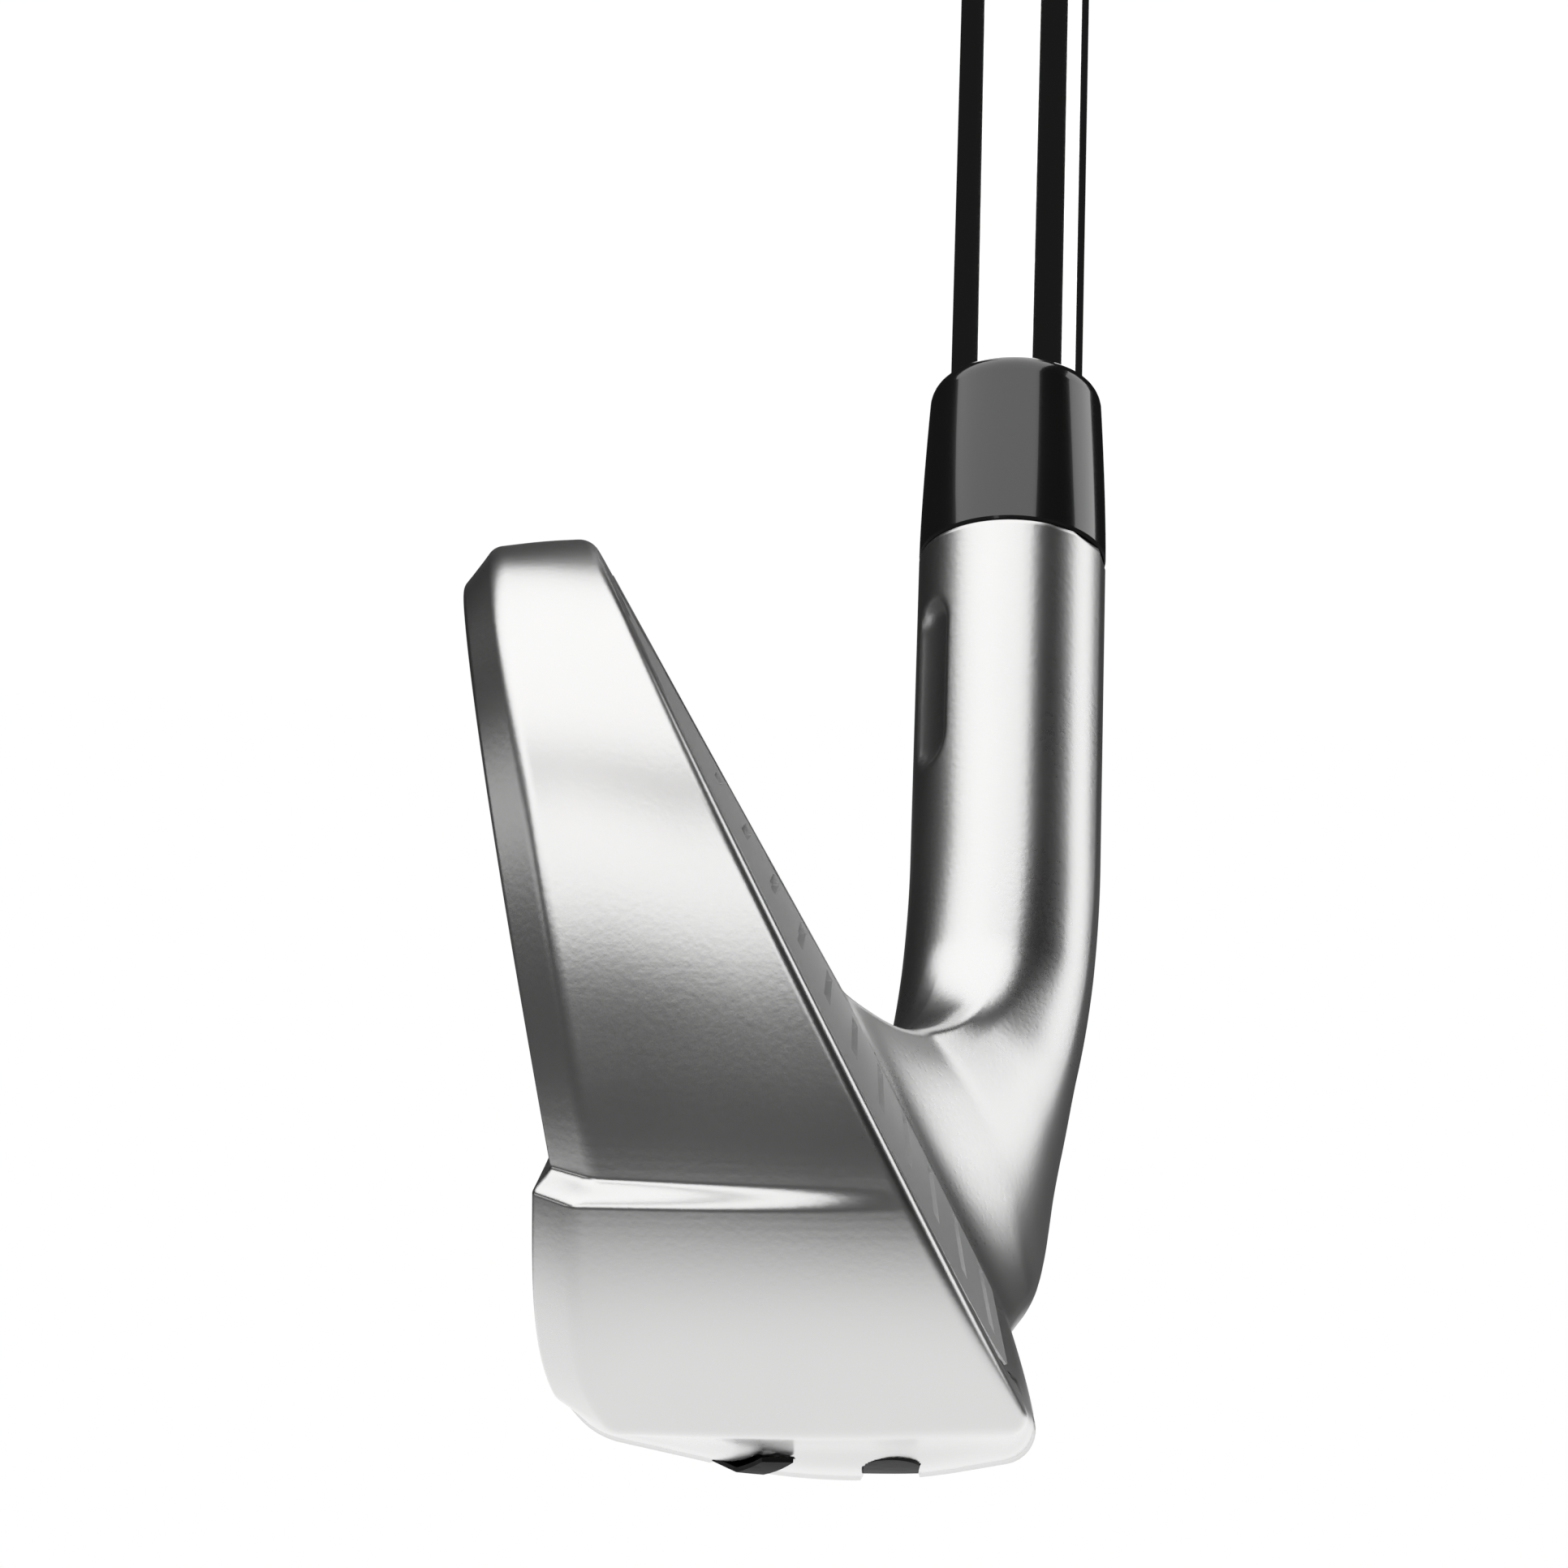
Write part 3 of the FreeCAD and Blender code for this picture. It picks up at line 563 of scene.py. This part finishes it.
class Finish:
    """A surface finish: a Principled shader and what feeds it."""

    def __init__(self, name, **settings):
        self.material = bpy.data.materials.new(name)
        self.material.use_nodes = True
        self.tree = self.material.node_tree
        self.shader = self.tree.nodes["Principled BSDF"]
        self.place = self.node("ShaderNodeTexCoord").value("Object")
        self.feed(self.shader, {key.replace("_", " "): value for key, value in settings.items()})

    def feed(self, node, inputs):
        for key, value in inputs.items():
            if isinstance(value, Value):
                self.tree.links.new(value.socket, node.inputs[key])
            else:
                node.inputs[key].default_value = value

    def node(self, kind, settings=None, inputs=None):
        made = self.tree.nodes.new(kind)
        for key, value in (settings or {}).items():
            setattr(made, key, value)
        self.feed(made, inputs or {})
        return Made(self, made)

    def noise(self, scale, detail=3.0, stretch=None):
        where = self.place
        if stretch:
            scaled = self.node("ShaderNodeVectorMath", {"operation": "MULTIPLY"}, {0: where, 1: stretch})
            where = scaled.value()
        made = self.node("ShaderNodeTexNoise", None, {"Vector": where, "Scale": scale, "Detail": detail})
        return made.value("Fac")

    def blend(self, share, first, second):
        made = self.tree.nodes.new("ShaderNodeMix")
        made.data_type = "RGBA"
        self.feed(made, {0: share, 6: first, 7: second})
        return Value(self, made.outputs[2])

    def bump(self, height, strength, distance):
        made = self.node("ShaderNodeBump", None,
                         {"Height": height, "Strength": strength, "Distance": distance})
        self.feed(self.shader, {"Normal": made.value("Normal")})


def shade(level, warm=0.0):
    return (level * (1 + warm), level, level * (1 - warm), 1)


def satin_steel(name, level=0.6, rough=0.27, grain=0.35):
    finish = Finish(name, Metallic=1.0, IOR=2.5)
    cloud = finish.noise(60.0, 4.0)
    fine = finish.noise(2600.0, 2.0)
    finish.feed(finish.shader, {"Roughness": cloud * 0.06 + (rough - 0.03) + fine * 0.03,
                                "Base Color": finish.blend(cloud, shade(level * 0.95),
                                                           shade(level * 1.05, 0.008))})
    finish.bump(fine, grain, 0.00002)
    return finish.material


def blasted_steel(name, level=0.5):
    finish = Finish(name, Metallic=1.0)
    fine = finish.noise(3400.0, 4.0)
    finish.feed(finish.shader, {"Roughness": fine * 0.2 + 0.36,
                                "Base Color": finish.blend(fine, shade(level * 0.8), shade(level * 1.25))})
    finish.bump(fine, 0.8, 0.00005)
    return finish.material


def gloss_black(name, level=0.006, rough=0.07):
    finish = Finish(name)
    cloud = finish.noise(90.0)
    finish.feed(finish.shader, {"Roughness": cloud * 0.03 + rough, "Coat Weight": 0.6,
                                "Base Color": finish.blend(cloud, shade(level), shade(level * 1.6))})
    finish.bump(finish.noise(700.0), 0.04, 0.00002)
    return finish.material


def chrome(name):
    finish = Finish(name, Metallic=1.0)
    cloud = finish.noise(40.0)
    finish.feed(finish.shader, {"Roughness": cloud * 0.03 + 0.035,
                                "Base Color": finish.blend(cloud, shade(0.78), shade(0.84, 0.004))})
    return finish.material


def soft(name, level, rough=0.6, scale=1500.0, warm=0.0, height=0.00006, sheen=0.5):
    finish = Finish(name, Specular_IOR_Level=sheen)
    cloud = finish.noise(scale * 0.05)
    fine = finish.noise(scale)
    finish.feed(finish.shader, {"Roughness": fine * 0.12 + (rough - 0.06),
                                "Base Color": finish.blend(cloud, shade(level * 0.8, warm),
                                                           shade(level * 1.25, warm))})
    finish.bump(fine, 0.5, height)
    return finish.material


def bright_metal(name, colour, rough=0.3):
    finish = Finish(name, Metallic=1.0)
    lines = finish.noise(300.0, 3.0, (1.0, 1.0, 14.0))
    finish.feed(finish.shader, {"Roughness": lines * 0.12 + rough,
                                "Base Color": finish.blend(lines, tuple(c * 0.85 for c in colour) + (1,),
                                                           colour + (1,))})
    finish.bump(lines, 0.2, 0.00002)
    return finish.material


STEEL = satin_steel("satin plated steel", 0.56, 0.27)
FACE = blasted_steel("blasted face steel")
FERRULE = gloss_black("polished ferrule plastic", 0.006, 0.14)
CHROME = chrome("shaft chrome")
RUBBER = soft("grip rubber", 0.022, 0.62, 1800.0)
CAP = soft("butt cap rubber", 0.016, 0.5, 900.0)
PAINT = soft("number enamel", 0.004, 0.6, 1200.0, sheen=0.05)
INSERT = soft("slot polymer", 0.008, 0.6, 1200.0, sheen=0.1)
BACK = soft("back cap polymer", 0.035, 0.42, 1300.0)
FOIL = bright_metal("badge aluminium", (0.72, 0.73, 0.74))
LACQUER = gloss_black("badge lacquer", 0.01, 0.12)
BAND = gloss_black("shaft band film", 0.02, 0.16)
BRASS = bright_metal("tip weight brass", (0.72, 0.52, 0.24))
HEAVY = bright_metal("sintered weight", (0.3, 0.3, 0.3), 0.45)
PALE = soft("bond and resin", 0.5, 0.6, 900.0, 0.08)


# ---------------------------------------------------------------- the pieces

def head():
    tube = tube_points()
    rows, columns = tube.shape[:2]
    toe = toe_points()
    toe_rows_, toe_columns = toe.shape[:2]
    points = np.concatenate([tube.reshape(-1, 3), toe.reshape(-1, 3)])
    faces = np.concatenate([grid_faces(rows, columns)[:, ::-1],
                            grid_faces(toe_rows_, toe_columns, False, rows * columns)])
    return piece("head_skin", points, faces, STEEL, ["head_body"], 40)


def ferrule():
    low = HOSEL_TOP + 0.06
    top = HOSEL_TOP + FERRULE_LEN
    turn = np.linspace(0, math.pi / 2, 9)
    share = np.linspace(0, 1, 12)
    body = np.stack([lerp(6.6, 6.12, share ** 1.5), lerp(low + 0.2, top - 1.5, share)], 1)
    dome = np.stack([5.0 + 1.12 * np.cos(turn), top - 1.5 + 1.5 * np.sin(turn)], 1)
    profile = np.concatenate([[(4.72, low), (6.45, low)], body, dome, [(4.72, top)]])
    turned("ferrule_skin", profile, FERRULE, ["ferrule"])


def joint_ring():
    """The thin dark line of resin where the ferrule meets the hosel."""
    low = HOSEL_TOP - 0.02
    high = HOSEL_TOP + 0.08
    turned("joint_line", [(4.75, low), (6.5, low), (6.5, high), (4.75, high)], PAINT)


def shaft():
    """The shaft's outside as even steps from tip to butt, closed inside by its bore."""
    tip, butt = SHAFT_TIP_R, SHAFT_BUTT_R
    start = HOSEL_TOP - BORE_DEPTH + EPOXY_T
    end = CLUB_LENGTH - GRIP_CAP_T
    pitch = (end - start - SHAFT_TIP_LEN - SHAFT_BUTT_LEN) / SHAFT_STEPS
    corner = [(tip, start)]
    for i in range(SHAFT_STEPS):
        t = start + SHAFT_TIP_LEN + i * pitch
        here = lerp(tip, butt, i / SHAFT_STEPS)
        there = lerp(tip, butt, (i + 1) / SHAFT_STEPS)
        corner += [(here, t), (lerp(here, there, 0.25), t + 0.2),
                   (lerp(here, there, 0.75), t + 0.6), (there, t + 0.8)]
    bore = tip - SHAFT_WALL
    corner += [(butt, end), (butt - SHAFT_WALL, end), (bore, start + 180), (bore, start)]
    turned("shaft_skin", corner, CHROME, ["shaft"], 128, None, 60)


def grip():
    """The grip: a taper with rows of small ribs cut in it, and bands left plain."""
    mouth = CLUB_LENGTH - GRIP_LEN
    lip = CLUB_LENGTH - LIP_LEN
    t = np.concatenate([[mouth, mouth + 0.15, mouth + 0.5], np.arange(mouth + 1.2, lip - 0.6, 0.6),
                        [lip - 0.3, lip]])
    r = np.interp(t, [mouth, mouth + 0.5, mouth + 40, lip - 40, lip], [8.15, 8.5, 9.0, 11.7, 12.2])

    def pattern(angle, along, radius):
        band = np.mod(along - mouth, 44.0)
        ribbed = smooth((band - 5.0) / 1.2) * smooth((41.0 - band) / 1.2)
        ribbed = ribbed * smooth((along - mouth - 8) / 2) * smooth((lip - 8 - along) / 2)
        cut = np.cos(angle * 18 + along * 0.9) * np.cos(angle * 18 - along * 0.9)
        outer = (radius > 8.4) & (along < lip - 2)
        return -0.32 * smooth((np.abs(cut) - 0.25) / 0.35) * ribbed * outer

    inside = [(11.6, lip), (11.6, lip + 0.5), (7.95, lip + 0.5), (7.95, mouth)]
    profile = np.concatenate([np.stack([r, t], 1), inside])
    turned("grip_skin", profile, RUBBER, ["grip"], 216, pattern, 50)


def butt_cap():
    """The butt cap: a rounded rim and a shallow dish with two rings round the vent hole."""
    lip = CLUB_LENGTH - LIP_LEN
    turn = np.linspace(0, math.pi / 2, 7)
    rim = np.stack([13.6 - 0.9 + 0.9 * np.cos(turn), CLUB_LENGTH - 0.9 + 0.9 * np.sin(turn)], 1)
    r = np.linspace(12.3, 2.4, 60)
    rings = smooth(1 - np.abs(r - 9.0) / 0.5) + smooth(1 - np.abs(r - 5.2) / 0.5)
    dish = CLUB_LENGTH - 0.25 * smooth((12.3 - r) / 0.8) - 0.2 * rings
    under = CLUB_LENGTH - GRIP_CAP_T
    profile = np.concatenate([[(11.7, lip), (13.4, lip), (13.6, lip + 0.2)], rim, np.stack([r, dish], 1),
                              [(2.1, CLUB_LENGTH - 0.4), (2.1, under), (11.7, under)]])
    turned("butt_cap_skin", profile, CAP, ["grip_cap"], 128, None, 50)


def dress_nodes():
    """Gives the CAD nodes that stay their finishes."""
    finishes = {"face_plate": FACE, "slot_insert": INSERT, "number_fill": PAINT, "back_cap": BACK,
                "cap_tape": PALE, "badge_film": PALE, "badge_plate": FOIL, "badge_inlay": LACQUER,
                "hosel_epoxy": PALE,
                "tip_weight": BRASS, "toe_weight": HEAVY, "damping_bar": INSERT, "hot_melt_pad": PALE,
                "shaft_band": BAND, "grip_tape": PALE, "head_body": STEEL, "ferrule": FERRULE,
                "shaft": CHROME, "grip": RUBBER, "grip_cap": CAP}
    for name, finish in finishes.items():
        mesh = frame["nodes"][name].data
        mesh.materials.clear()
        mesh.materials.append(finish)


dress_nodes()
head()
ferrule()
joint_ring()
shaft()
grip()
butt_cap()


# ---------------------------------------------------------------- floor, light and camera

def glow(name, level):
    material = bpy.data.materials.new(name)
    material.use_nodes = True
    nodes = material.node_tree.nodes
    nodes.clear()
    light = nodes.new("ShaderNodeEmission")
    light.name = "Emission"
    light.inputs["Color"].default_value = (level, level, level, 1)
    out = nodes.new("ShaderNodeOutputMaterial")
    material.node_tree.links.new(light.outputs[0], out.inputs[0])
    return material


def floor():
    """A white floor that glows: evenly white to the camera, but in reflections and in the light it sheds it
    is a painted pool of light round the head, fading away a few centimetres from it.
    """
    mesh = bpy.data.meshes.new("floor")
    mesh.from_pydata([(-6, -6, 0), (6, -6, 0), (6, 6, 0), (-6, 6, 0)], [], [(0, 1, 2, 3)])
    material = glow("pale floor with painted glow", 1.0)
    tree = material.node_tree
    path = tree.nodes.new("ShaderNodeLightPath")
    place = tree.nodes.new("ShaderNodeTexCoord")
    away = tree.nodes.new("ShaderNodeVectorMath")
    away.operation = "DISTANCE"
    away.inputs[1].default_value = (-0.012, -0.045, 0)
    # Painted pool of light: the floor's glow, which only reflections and lit surfaces see, is strong round
    # the head and falls off a few centimetres away.
    painted_glow_pool = tree.nodes.new("ShaderNodeMapRange")
    painted_glow_pool.interpolation_type = "SMOOTHSTEP"
    for key, value in {"From Min": 0.036, "From Max": 0.085, "To Min": 1.25, "To Max": 0.08}.items():
        painted_glow_pool.inputs[key].default_value = value
    either = tree.nodes.new("ShaderNodeMix")
    either.inputs[3].default_value = 1.0
    tree.links.new(place.outputs["Object"], away.inputs[0])
    tree.links.new(away.outputs["Value"], painted_glow_pool.inputs["Value"])
    tree.links.new(path.outputs["Is Camera Ray"], either.inputs[0])
    tree.links.new(painted_glow_pool.outputs["Result"], either.inputs[2])
    tree.links.new(either.outputs[0], tree.nodes["Emission"].inputs["Strength"])
    mesh.materials.append(material)
    made = bpy.data.objects.new("floor", mesh)
    bpy.context.scene.collection.objects.link(made)


def softbox(name, place, aim, width, height, level):
    """A rectangular light at place, facing aim, seen only in reflections and by what it lights."""
    light = bpy.data.lights.new(name, "AREA")
    light.shape = "RECTANGLE"
    light.size = width
    light.size_y = height
    light.energy = level * math.pi * width * height
    made = bpy.data.objects.new(name, light)
    bpy.context.scene.collection.objects.link(made)
    made.location = place
    made.rotation_euler = (Vector(aim) - Vector(place)).to_track_quat("-Z", "Y").to_euler()
    made.visible_camera = False


def world():
    made = bpy.data.worlds.new("studio")
    made.use_nodes = True
    nodes = made.node_tree.nodes
    back = nodes["Background"]
    path = nodes.new("ShaderNodeLightPath")
    level = nodes.new("ShaderNodeMath")
    level.operation = "MULTIPLY_ADD"
    level.inputs[1].default_value = 1.0
    level.inputs[2].default_value = 0.012
    made.node_tree.links.new(path.outputs["Is Camera Ray"], level.inputs[0])
    made.node_tree.links.new(level.outputs[0], back.inputs["Strength"])
    back.inputs["Color"].default_value = (1, 1, 1, 1)
    bpy.context.scene.world = made
    bpy.context.scene.view_settings.view_transform = "Standard"


def camera():
    """A long lens at the toe, level with the head; the heading, height and roll are in degrees."""
    heading, height, roll = (math.radians(a) for a in (0.6, 1.0, 1.9))
    ahead = np.array([-math.sin(heading) * math.cos(height), math.cos(heading) * math.cos(height),
                      -math.sin(height)])
    level = np.array([math.cos(heading), math.sin(heading), 0])
    upright = np.cross(level, ahead)
    right = math.cos(roll) * level + math.sin(roll) * upright
    up = math.cos(roll) * upright - math.sin(roll) * level
    hosel = np.array([0, 28.46, 55.2])
    place = hosel - ahead * 500 - right * 16.178 - up * 15.862
    lens = bpy.data.cameras.new("camera")
    lens.sensor_width = 36
    lens.lens = 162.1
    lens.clip_start = 0.01
    made = bpy.data.objects.new("camera", lens)
    turn = Matrix((right, up, -ahead)).transposed().to_4x4()
    turn.translation = Vector(place * MM)
    made.matrix_world = turn
    bpy.context.scene.collection.objects.link(made)
    bpy.context.scene.camera = made


floor()
softbox("overhead", (-0.62, -0.15, 1.15), (-0.62, -0.15, 0), 2.3, 1.9, 1.7)
softbox("front_high", (-0.3, -1.5, 0.74), (0, -0.08, 0.04), 2.2, 1.0, 1.7)
softbox("right_strip", (1.15, 0.55, 0.55), (0, 0.0, 0.3), 0.75, 1.2, 1.7)
softbox("left_low", (-1.2, -0.15, 0.16), (0, -0.1, 0.1), 0.9, 0.3, 0.8)
world()
camera()
